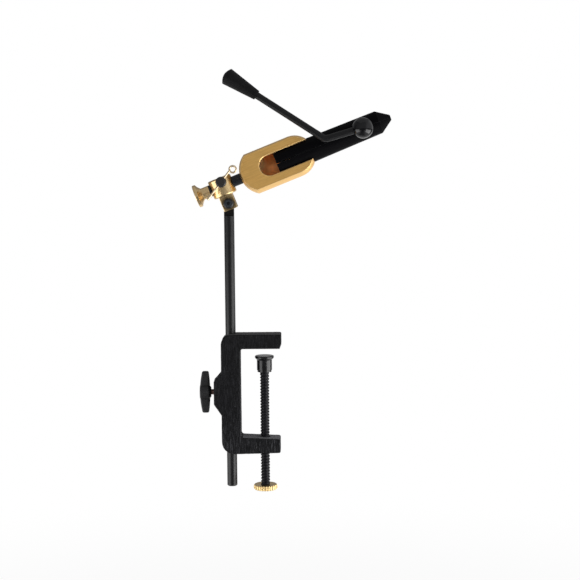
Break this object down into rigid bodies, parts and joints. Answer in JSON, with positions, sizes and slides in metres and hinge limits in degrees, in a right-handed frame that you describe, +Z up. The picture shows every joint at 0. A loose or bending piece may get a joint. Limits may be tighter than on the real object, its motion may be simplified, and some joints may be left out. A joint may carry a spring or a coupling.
{
  "type": "fly tying vise",
  "caption": "Clamp-on bench vise for tying fishing flies: a table clamp carries a tall stem and a tilting, turning head whose long jaws open with a bent lever.",
  "frame": {"origin": "on the clamp's upper arm, at its underside (the face that lies on the table), on the clamp screw's axis", "axes": "+Z up along the stem; +X from the stem towards the open side of the clamp and the jaws' nose; the lever lies on the -Y side"},
  "size_m": [0.1842, 0.0517, 0.3905],
  "materials": {
    "cast_paint": "black paint on a rough casting",
    "black_steel": "black oxide, satin",
    "jaw_steel": "black oxide, fine ground",
    "pad_black": "black, glossy turned surface",
    "knob_brass": "bright, fluted rim",
    "satin_brass": "satin, turned",
    "shoe_brass": "plain, turned",
    "copper_screw": "copper-coloured plating",
    "bright_steel": "bright",
    "ball_black": "glossy",
    "grip_rubber": "matte, faintly faceted"
  },
  "bodies": {
    "clamp": {"clamp_frame": "cast_paint"},
    "stem": {"stem": "black_steel", "tongue_screw": "black_steel"},
    "tongue": {"stem_tongue": "black_steel"},
    "knuckle": {"knuckle": "satin_brass", "pivot_bolt": "black_steel", "pivot_nut": "black_steel", "pivot_washers": "bright_steel"},
    "tommy_shoe": {"tommy_shoe": "shoe_brass"},
    "tommy_screw": {"tommy_screw": "black_steel"},
    "tommy_bar": {"tommy_bar": "bright_steel"},
    "head": {"head_shaft": "black_steel", "head_body": "satin_brass", "body_screw": "black_steel", "fulcrum_pin": "black_steel", "jaw_spring": "bright_steel"},
    "tension_washer": {"tension_washer": "black_steel"},
    "thumb_nut": {"thumb_nut": "satin_brass"},
    "upper_jaw": {"upper_jaw": "jaw_steel"},
    "lower_jaw": {"lower_jaw": "jaw_steel"},
    "lever": {"cam_shaft": "black_steel", "cam_collar": "black_steel", "cam_end_screw": "black_steel", "lever_ball": "ball_black", "lever_rod": "black_steel", "lever_grip": "grip_rubber"},
    "lock_shoe": {"lock_shoe": "shoe_brass"},
    "wing": {"wing_shank": "copper_screw", "wing_head": "black_steel"},
    "pad": {"clamp_pad": "pad_black", "pad_clip": "bright_steel"},
    "screw": {"clamp_screw": "black_steel", "clamp_knob": "knob_brass"}
  },
  "joints": [
    {"name": "stem_slide", "type": "slide", "parent": "clamp", "child": "stem", "axis": [0, 0, 1], "range_m": [-0.09, 0.06]},
    {"name": "stem_turn", "type": "hinge", "parent": "stem", "child": "tongue", "pos_m": [-0.0313, 0, 0.1231], "axis": [0, 0, 1], "continuous": true},
    {"name": "head_tilt", "type": "hinge", "parent": "tongue", "child": "knuckle", "pos_m": [-0.0313, 0, 0.1351], "axis": [0, 1, 0], "range_deg": [-60, 65]},
    {"name": "head_spin", "type": "hinge", "parent": "knuckle", "child": "head", "pos_m": [-0.03747, 0, 0.15062], "axis": [0.9291, 0, 0.3697], "continuous": true},
    {"name": "lever_squeeze", "type": "hinge", "parent": "head", "child": "lever", "pos_m": [0.09149, 0, 0.20194], "axis": [-0.011, -0.9996, 0.0276], "range_deg": [0, 30], "stiffness_Nm_per_rad": 0.2, "springref_deg": -22.92},
    {"name": "upper_jaw_swing", "type": "hinge", "parent": "head", "child": "upper_jaw", "pos_m": [0.03407, 0, 0.17909], "axis": [-0.011, -0.9996, 0.0276], "range_deg": [0, 1.52], "deforming": ["jaw_spring"]},
    {"name": "lower_jaw_swing", "type": "hinge", "parent": "head", "child": "lower_jaw", "pos_m": [0.03407, 0, 0.17909], "axis": [0.011, 0.9996, -0.0276], "range_deg": [0, 1.52]},
    {"name": "washer_slide", "type": "slide", "parent": "head", "child": "tension_washer", "axis": [-0.9291, 0, -0.3697], "range_m": [0, 0.003]},
    {"name": "thumb_turn", "type": "hinge", "parent": "tension_washer", "child": "thumb_nut", "pos_m": [-0.04862, 0, 0.14618], "axis": [-0.9291, 0, -0.3697], "range_deg": [0, 1200]},
    {"name": "tommy_slide", "type": "slide", "parent": "knuckle", "child": "tommy_shoe", "axis": [0, -1, 0], "range_m": [0, 0.0008]},
    {"name": "tommy_turn", "type": "hinge", "parent": "tommy_shoe", "child": "tommy_screw", "pos_m": [-0.03762, -0.01, 0.15476], "axis": [0, -1, 0], "range_deg": [0, 360]},
    {"name": "bar_slide", "type": "slide", "parent": "tommy_screw", "child": "tommy_bar", "axis": [0.6129, 0, 0.7902], "range_m": [-0.0067, 0.006]},
    {"name": "lock_slide", "type": "slide", "parent": "clamp", "child": "lock_shoe", "axis": [-1, 0, 0], "range_m": [0, 0.003]},
    {"name": "wing_turn", "type": "hinge", "parent": "lock_shoe", "child": "wing", "pos_m": [-0.045, 0, -0.0414], "axis": [-1, 0, 0], "range_deg": [0, 1080]},
    {"name": "pad_slide", "type": "slide", "parent": "clamp", "child": "pad", "axis": [0, 0, 1], "range_m": [-0.06, 0.0072]},
    {"name": "screw_turn", "type": "hinge", "parent": "pad", "child": "screw", "pos_m": [0, 0, -0.015], "axis": [0, 0, 1], "range_deg": [-7656, 921]}
  ],
  "couplings": [
    {"joint": "upper_jaw_swing", "follows": "lever_squeeze", "ratio": 0.0506},
    {"joint": "lower_jaw_swing", "follows": "lever_squeeze", "ratio": 0.0506},
    {"joint": "thumb_turn", "follows": "washer_slide", "rad_per_m": 6981.3},
    {"joint": "tommy_turn", "follows": "tommy_slide", "rad_per_m": 7853.9},
    {"joint": "wing_turn", "follows": "lock_slide", "rad_per_m": 6283.1},
    {"joint": "screw_turn", "follows": "pad_slide", "rad_per_m": 2226.5}
  ]
}
